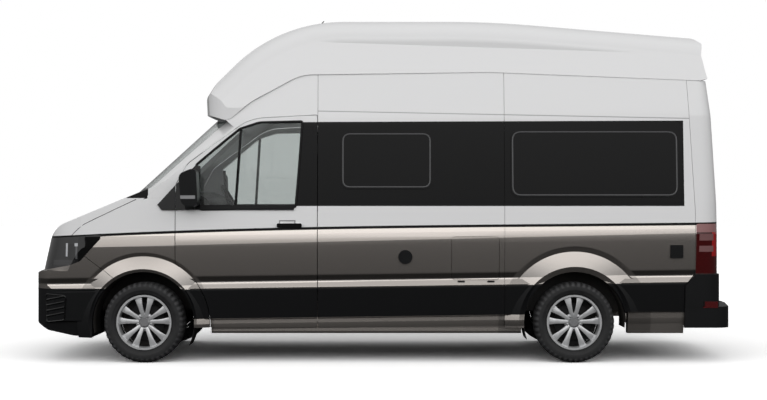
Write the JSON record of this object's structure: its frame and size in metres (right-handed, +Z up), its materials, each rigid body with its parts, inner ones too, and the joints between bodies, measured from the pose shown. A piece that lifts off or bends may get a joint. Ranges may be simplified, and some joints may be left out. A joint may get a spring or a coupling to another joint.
{
  "type": "camper van",
  "caption": "High-roof camper van on a long panel-van body, with hinged cab doors, bonnet, rear doors and service flap, steered front wheels and a hollow living space.",
  "frame": {"origin": "on the ground, under the middle of the vehicle's overall box", "axes": "+X forward, +Y to the vehicle's left, +Z up"},
  "size_m": [6.016, 2.444, 3.008],
  "materials": {
    "white_paint": "gloss white paint",
    "two_tone_paint": "gloss white over beige metallic paint",
    "black_trim": "grained black plastic",
    "clear_glass": "clear glass",
    "dark_acrylic": "dark tinted acrylic",
    "headlamp": "clear cover over dark bezel",
    "tail_lamp": "red lens",
    "tyre": "rubber",
    "alloy": "silver alloy",
    "chassis_metal": "black coated steel",
    "cabin_plastic": "grained dark plastic",
    "seat_fabric": "woven dark fabric",
    "roof_plastic": "pale plastic"
  },
  "bodies": {
    "body": {"aerial": "black_trim", "cab_frame": "white_paint", "camper_windows": "dark_acrylic", "chassis_rails": "chassis_metal", "dashboard": "cabin_plastic", "engine_block": "chassis_metal", "exhaust": "chassis_metal", "floor_pan": "black_trim", "front_axle": "chassis_metal", "front_bumper": "two_tone_paint", "front_bumper_lower": "black_trim", "front_wings": "two_tone_paint", "fuel_tank": "black_trim", "grille": "black_trim", "headlamps": "headlamp", "rear_axle": "chassis_metal", "rear_bumper": "black_trim", "rear_corners": "white_paint", "roof_hatches": "roof_plastic", "roof_shell": "white_paint", "seat_bases": "cabin_plastic", "seat_driver": "seat_fabric", "seat_passenger": "seat_fabric", "service_caps": "black_trim", "side_panel_mid_left": "two_tone_paint", "side_panel_rear_left": "two_tone_paint", "side_panel_rear_right": "two_tone_paint", "sills": "two_tone_paint", "sliding_door": "two_tone_paint", "tail_lamps": "tail_lamp", "windscreen": "clear_glass"},
    "front_door_left": {"front_door_left": "two_tone_paint", "front_glass_left": "clear_glass", "mirror_left": "black_trim"},
    "front_door_right": {"front_door_right": "two_tone_paint", "front_glass_right": "clear_glass", "mirror_right": "black_trim"},
    "rear_door_left": {"rear_door_left": "two_tone_paint", "rear_glass_left": "dark_acrylic"},
    "rear_door_right": {"rear_door_right": "two_tone_paint", "rear_glass_right": "dark_acrylic"},
    "bonnet": {"bonnet": "white_paint"},
    "service_flap": {"service_flap": "two_tone_paint"},
    "steering_wheel": {"steering_wheel": "cabin_plastic"},
    "knuckle_left": {"knuckle_left": "chassis_metal"},
    "knuckle_right": {"knuckle_right": "chassis_metal"},
    "wheel_front_left": {"tyre_front_left": "tyre", "rim_front_left": "alloy"},
    "wheel_front_right": {"tyre_front_right": "tyre", "rim_front_right": "alloy"},
    "wheel_rear_left": {"tyre_rear_left": "tyre", "rim_rear_left": "alloy"},
    "wheel_rear_right": {"tyre_rear_right": "tyre", "rim_rear_right": "alloy"}
  },
  "joints": [
    {"name": "front_door_left_hinge", "type": "hinge", "parent": "body", "child": "front_door_left", "pos_m": [1.755, 1.027, 1.1], "axis": [0, 0, -1], "range_deg": [0, 70]},
    {"name": "front_door_right_hinge", "type": "hinge", "parent": "body", "child": "front_door_right", "pos_m": [1.755, -1.027, 1.1], "axis": [0, 0, 1], "range_deg": [0, 70]},
    {"name": "rear_door_left_hinge", "type": "hinge", "parent": "body", "child": "rear_door_left", "pos_m": [-2.865, 0.8, 1.4], "axis": [0, 0, -1], "range_deg": [0, 180]},
    {"name": "rear_door_right_hinge", "type": "hinge", "parent": "body", "child": "rear_door_right", "pos_m": [-2.865, -0.8, 1.4], "axis": [0, 0, 1], "range_deg": [0, 180]},
    {"name": "bonnet_hinge", "type": "hinge", "parent": "body", "child": "bonnet", "pos_m": [2.06, 0, 1.48], "axis": [0, -1, 0], "range_deg": [0, 60]},
    {"name": "service_flap_hinge", "type": "hinge", "parent": "body", "child": "service_flap", "pos_m": [-0.775, 1.006, 0.702], "axis": [-1, 0, 0], "range_deg": [0, 95]},
    {"name": "steer_left", "type": "hinge", "parent": "body", "child": "knuckle_left", "pos_m": [2.026, 0.79, 0.34], "axis": [0, 0, 1], "range_deg": [-38, 38]},
    {"name": "steer_right", "type": "hinge", "parent": "body", "child": "knuckle_right", "pos_m": [2.026, -0.79, 0.34], "axis": [0, 0, 1], "range_deg": [-38, 38]},
    {"name": "steering_wheel_turn", "type": "hinge", "parent": "body", "child": "steering_wheel", "pos_m": [1.33, 0.42, 1.33], "axis": [-0.8829, 0, 0.4695], "range_deg": [-540, 540]},
    {"name": "wheel_front_left_spin", "type": "hinge", "parent": "knuckle_left", "child": "wheel_front_left", "pos_m": [2.026, 0.865, 0.34], "axis": [0, 1, 0], "continuous": true},
    {"name": "wheel_front_right_spin", "type": "hinge", "parent": "knuckle_right", "child": "wheel_front_right", "pos_m": [2.026, -0.865, 0.34], "axis": [0, 1, 0], "continuous": true},
    {"name": "wheel_rear_left_spin", "type": "hinge", "parent": "body", "child": "wheel_rear_left", "pos_m": [-1.614, 0.865, 0.34], "axis": [0, 1, 0], "continuous": true},
    {"name": "wheel_rear_right_spin", "type": "hinge", "parent": "body", "child": "wheel_rear_right", "pos_m": [-1.614, -0.865, 0.34], "axis": [0, 1, 0], "continuous": true}
  ],
  "couplings": [
    {"joint": "steer_right", "follows": "steer_left", "ratio": 1},
    {"joint": "steering_wheel_turn", "follows": "steer_left", "ratio": 14}
  ]
}
